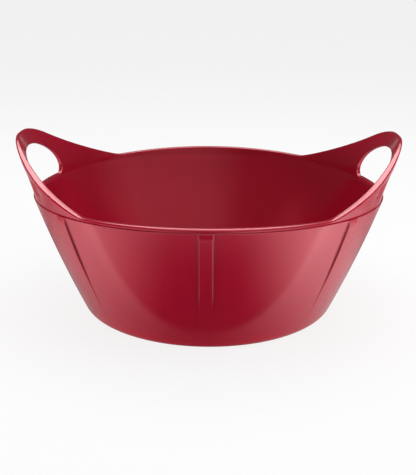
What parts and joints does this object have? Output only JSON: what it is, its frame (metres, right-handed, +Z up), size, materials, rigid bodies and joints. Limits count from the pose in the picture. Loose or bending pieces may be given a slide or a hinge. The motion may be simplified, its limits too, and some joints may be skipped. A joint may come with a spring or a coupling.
{
  "type": "flexible feed bucket",
  "caption": "Shallow round flexible tub with flared wall, raised vertical bands and swept-up handles with rounded hand holes.",
  "frame": {"origin": "centre of the tub on the ground, under the foot ring", "axes": "+Z up along the tub's axis, +X towards the right handle, -Y towards the front low rim"},
  "size_m": [0.444, 0.4138, 0.2085],
  "materials": {
    "floor_panel": "glossy moulded flexible plastic",
    "tub_wall": "glossy moulded flexible plastic",
    "front_rim": "glossy moulded flexible plastic",
    "back_rim": "glossy moulded flexible plastic",
    "left_handle": "glossy moulded flexible plastic",
    "right_handle": "glossy moulded flexible plastic"
  },
  "bodies": {
    "tub": {"floor_panel": "floor_panel", "tub_wall": "tub_wall", "front_rim": "front_rim", "back_rim": "back_rim"},
    "left_grip": {"left_handle": "left_handle"},
    "right_grip": {"right_handle": "right_handle"}
  },
  "joints": [
    {"name": "left_handle_flex", "type": "hinge", "parent": "tub", "child": "left_grip", "pos_m": [-0.18191, 0, 0.17856], "axis": [0, 1, 0], "range_deg": [0, 25], "stiffness_Nm_per_rad": 3},
    {"name": "right_handle_flex", "type": "hinge", "parent": "tub", "child": "right_grip", "pos_m": [0.18191, 0, 0.17856], "axis": [0, -1, 0], "range_deg": [0, 25], "stiffness_Nm_per_rad": 3}
  ]
}
